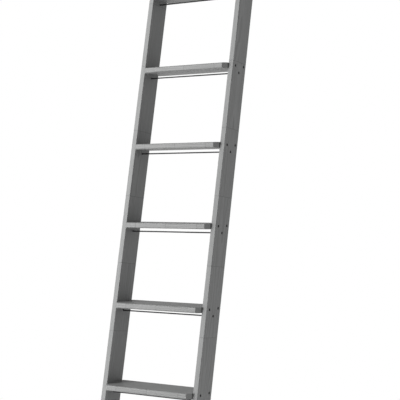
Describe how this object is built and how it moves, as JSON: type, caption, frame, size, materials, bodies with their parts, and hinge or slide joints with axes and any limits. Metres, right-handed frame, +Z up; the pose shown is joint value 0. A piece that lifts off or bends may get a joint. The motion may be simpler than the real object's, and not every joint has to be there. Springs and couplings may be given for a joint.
{
  "type": "ladder shelf",
  "caption": "Leaning wooden ladder shelf: two flat stiles lean on a wall and carry level treads, each with a slim steel tie rod under it.",
  "frame": {"origin": "on the floor, midway across the ladder and midway between its front and the wall", "axes": "+X to the right seen from the front, +Y towards the wall, +Z up"},
  "size_m": [0.416, 0.4994, 2],
  "materials": {
    "stile_wood": "grey stain under a matt lacquer, grain along the board",
    "tread_wood": "grey stain under a matt lacquer, grain along the board",
    "rod_steel": "dark oiled, threaded at the ends",
    "black_screw_steel": "black oxide, satin",
    "bracket_steel": "black powder coat",
    "zinc_screw_steel": "zinc plated",
    "foot_rubber": "matt, moulded",
    "pad_rubber": "matt, cut from sheet"
  },
  "bodies": {
    "root": {"left_stile": "stile_wood", "right_stile": "stile_wood", "tread_1": "tread_wood", "tread_2": "tread_wood", "tread_3": "tread_wood", "tread_4": "tread_wood", "tread_5": "tread_wood", "tread_6": "tread_wood", "tie_rod_1": "rod_steel", "tie_rod_2": "rod_steel", "tie_rod_3": "rod_steel", "tie_rod_4": "rod_steel", "tie_rod_5": "rod_steel", "tie_rod_6": "rod_steel", "left_tread_screws": "black_screw_steel", "right_tread_screws": "black_screw_steel", "left_sleeve_nuts": "black_screw_steel", "right_sleeve_nuts": "black_screw_steel", "left_foot": "foot_rubber", "right_foot": "foot_rubber", "left_foot_screws": "zinc_screw_steel", "right_foot_screws": "zinc_screw_steel", "left_wall_pad": "pad_rubber", "right_wall_pad": "pad_rubber", "left_bracket": "bracket_steel", "right_bracket": "bracket_steel", "left_bracket_screws": "black_screw_steel", "right_bracket_screws": "black_screw_steel"}
  },
  "joints": []
}
